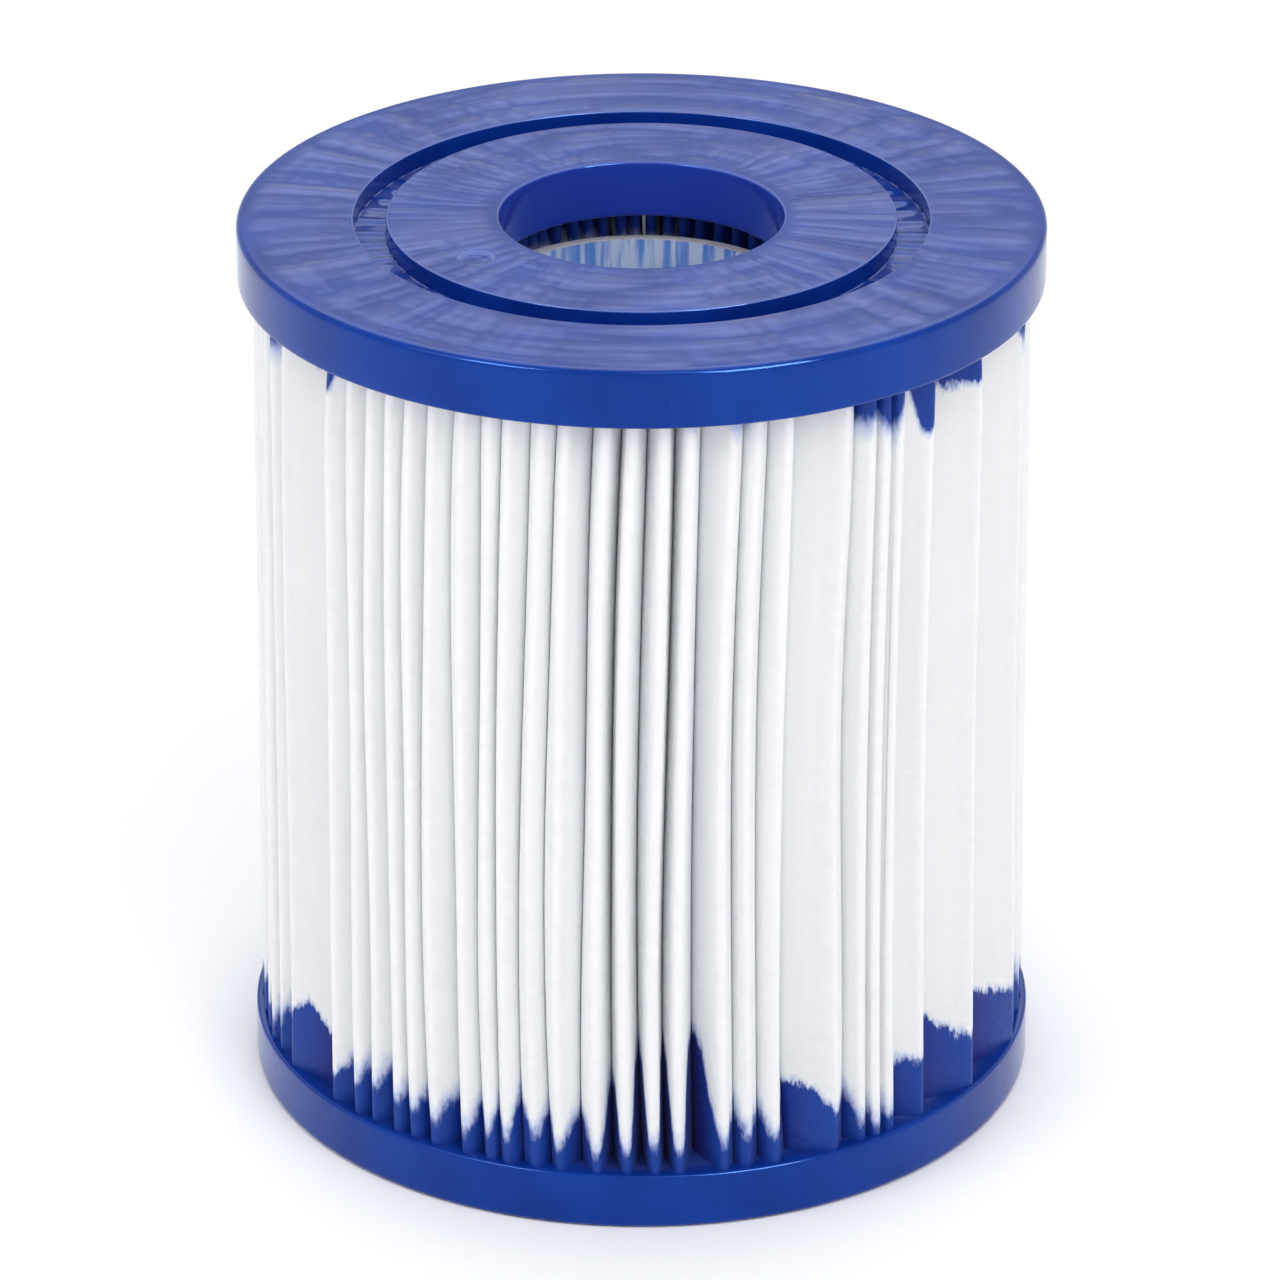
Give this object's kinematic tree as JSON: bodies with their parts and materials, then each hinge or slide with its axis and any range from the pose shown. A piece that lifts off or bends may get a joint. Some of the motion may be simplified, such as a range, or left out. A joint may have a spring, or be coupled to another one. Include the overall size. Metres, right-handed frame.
{
  "type": "pool filter cartridge",
  "caption": "Cylindrical pleated filter cartridge with a moulded cap at each end, a slotted core tube and a bore through the middle, for a small pool pump.",
  "frame": {"origin": "centre of the lower end cap's outer face, on the cartridge's axis", "axes": "+Z along the cartridge's axis, from the lower cap to the upper cap; -Y is the side the picture looks at; the pleated sheet's glued seam is at +Y"},
  "size_m": [0.079, 0.079, 0.091],
  "materials": {
    "cap_resin": "glossy cast resin, opaque blue",
    "media_fabric": "matt white non-woven polyester",
    "seam_glue": "semi-clear hot-melt glue",
    "core_plastic": "satin white polypropylene"
  },
  "bodies": {
    "root": {"top_end_cap": "cap_resin", "bottom_end_cap": "cap_resin", "pleated_media": "media_fabric", "seam_bead": "seam_glue", "core_tube": "core_plastic"}
  },
  "joints": []
}
